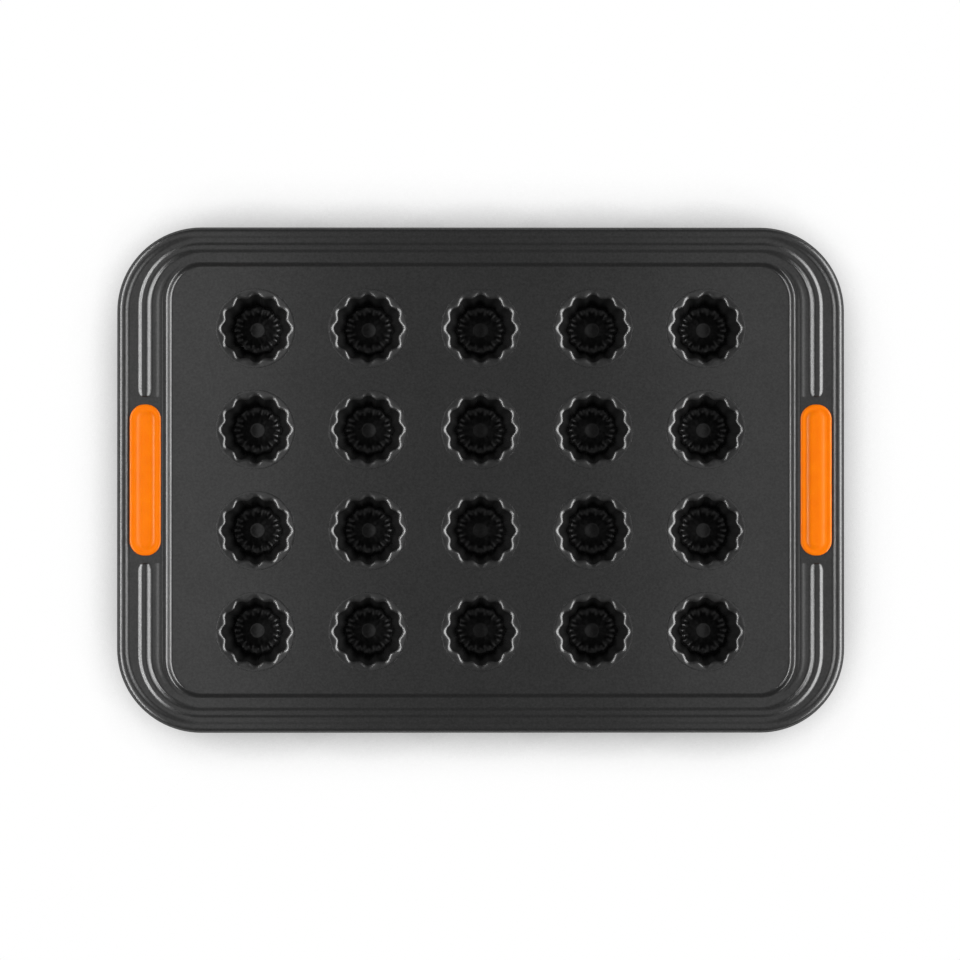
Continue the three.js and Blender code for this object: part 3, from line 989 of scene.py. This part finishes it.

# %% [markdown]
# ## Floor
# The pan stands on a plain white floor. For what the camera and reflections see, the floor is
# white light of strength 1 with a soft contact shadow of the pan painted into it by an ambient
# occlusion node, so it is white without any more light on the pan. For the light that bounces
# up under the pan, it is ordinary white paint. From below it is clear, so the underside can be
# looked at.

# %% Floor and its finish
FLOOR_SIZE = 16
SHADOW_REACH = 0.06
SHADOW_SAMPLES = 16
SHADOW_SHADES = [(0.0, grey(0.08)), (0.88, grey(1.0)), (0.45, grey(0.18))]
bpy.ops.object.select_all(action="DESELECT")
bpy.ops.mesh.primitive_plane_add(size=FLOOR_SIZE, location=(0, 0, 0))
floor = bpy.context.object
floor.name = "floor"
paint, tree, shader = new_finish("white_floor")
shader.inputs["Base Color"].default_value = (0.8, 0.8, 0.8, 1)
shader.inputs["Roughness"].default_value = 0.9
# Painted contact shadow: ambient occlusion darkens the floor's glow near the pan, and no lamp casts
# it
contact = tree.nodes.new("ShaderNodeAmbientOcclusion")
contact.samples = SHADOW_SAMPLES
contact.inputs["Distance"].default_value = SHADOW_REACH
glow = tree.nodes.new("ShaderNodeEmission")
tree.links.new(ramp(tree, contact.outputs["AO"], SHADOW_SHADES), glow.inputs["Color"])
path = tree.nodes.new("ShaderNodeLightPath")
seen = path.outputs["Is Camera Ray"]
for ray in ("Is Glossy Ray", "Is Transmission Ray"):
    either = tree.nodes.new("ShaderNodeMath")
    either.operation = "MAXIMUM"
    tree.links.new(seen, either.inputs[0])
    tree.links.new(path.outputs[ray], either.inputs[1])
    seen = either.outputs["Value"]
lit = tree.nodes.new("ShaderNodeMixShader")
tree.links.new(seen, lit.inputs["Fac"])
tree.links.new(shader.outputs["BSDF"], lit.inputs[1])
tree.links.new(glow.outputs["Emission"], lit.inputs[2])
clear = tree.nodes.new("ShaderNodeBsdfTransparent")
facing = tree.nodes.new("ShaderNodeNewGeometry")
one_sided = tree.nodes.new("ShaderNodeMixShader")
tree.links.new(facing.outputs["Backfacing"], one_sided.inputs["Fac"])
tree.links.new(lit.outputs["Shader"], one_sided.inputs[1])
tree.links.new(clear.outputs["BSDF"], one_sided.inputs[2])
tree.links.new(one_sided.outputs["Shader"], tree.nodes["Material Output"].inputs["Surface"])
floor.data.materials.append(paint)
print("floor:", FLOOR_SIZE, "m wide, and its finish has", len(tree.nodes), "nodes")

# %% [markdown]
# ## Light
# A long softbox hangs on the left and another on the right, so every edge that leans to a side
# gets a bright line and the flat deck between them stays dark. The right one reaches lower,
# which leaves no dark line along the pan's right edge. Dim panels above lift the deck a little
# towards its ends. The level is plain: white paint there renders about white.


# %% Softboxes and a dim room
def softbox(name, inner_edge, outer_edge, length, brightness):
    """A long panel of light between two edges, given as (x, z), which faces the pan."""
    inner, outer = (Vector((x, 0, z)) for x, z in (inner_edge, outer_edge))
    lamp = bpy.data.lights.new(name, "AREA")
    lamp.shape = "RECTANGLE"
    lamp.size = length
    lamp.size_y = (outer - inner).length
    lamp.energy = brightness * math.pi * lamp.size * lamp.size_y
    holder = bpy.data.objects.new(name, lamp)
    holder.location = (inner + outer) / 2
    facing = (outer - inner).cross(Vector((0, 1, 0)))
    facing *= -math.copysign(1, facing.z)
    holder.rotation_euler = facing.to_track_quat("-Z", "Y").to_euler()
    bpy.context.collection.objects.link(holder)
    print(name, "gives", round(lamp.energy, 1), "W")


SOFTBOX_LENGTH = 2.2
LEFT_BRIGHTNESS = 8.8
RIGHT_BRIGHTNESS = 6.8
PANEL_LENGTH = 1.0
HIGH_BRIGHTNESS = 0.85
TOP_BRIGHTNESS = 0.46
RIGHT_SHARE = 0.68
ROOM_BRIGHTNESS = 0.035
softbox("left_softbox", (-0.85, 0.82), (-1.25, 0.79), SOFTBOX_LENGTH, LEFT_BRIGHTNESS)
softbox("right_softbox", (0.85, 0.82), (1.6, 0.62), SOFTBOX_LENGTH, RIGHT_BRIGHTNESS)
for word, side, share in (("left", -1, 1.0), ("right", 1, RIGHT_SHARE)):
    softbox(word + "_high_panel", (side * 0.38, 0.54), (side * 0.80, 0.66),
            PANEL_LENGTH, HIGH_BRIGHTNESS * share)
    softbox(word + "_top_panel", (side * 0.14, 0.50), (side * 0.24, 0.51),
            PANEL_LENGTH, TOP_BRIGHTNESS * share)
room = bpy.data.worlds.new("dim_room")
room.use_nodes = True
background = room.node_tree.nodes["Background"]
background.inputs["Color"].default_value = (1, 1, 1, 1)
background.inputs["Strength"].default_value = ROOM_BRIGHTNESS
bpy.context.scene.world = room

# %% [markdown]
# ## Camera
# The photograph looks straight down on the pan from a long way off, a little to the left of and
# below its middle. A long lens at that height gives the same small lean of the cup walls.

# %% Camera
VIEW_HEIGHT = 2.4
VIEW_WIDTH = 0.5307
SENSOR = 36
VIEW_OFFSET = Vector((-0.018, -0.017))
VIEW_SHIFT = -0.0009
lens = bpy.data.cameras.new("camera")
lens.sensor_width = SENSOR
lens.lens = SENSOR * VIEW_HEIGHT / VIEW_WIDTH
lens.shift_x = VIEW_SHIFT
camera = bpy.data.objects.new("camera", lens)
camera.location = (*VIEW_OFFSET, FLANGE_Z + VIEW_HEIGHT)
lean_x = -math.atan2(VIEW_OFFSET.y, VIEW_HEIGHT)
lean_y = math.atan2(VIEW_OFFSET.x, VIEW_HEIGHT)
camera.rotation_euler = (lean_x, lean_y, 0)
bpy.context.collection.objects.link(camera)
bpy.context.scene.camera = camera
bpy.context.scene.view_settings.view_transform = "Standard"
print("lens:", round(lens.lens, 1), "mm")
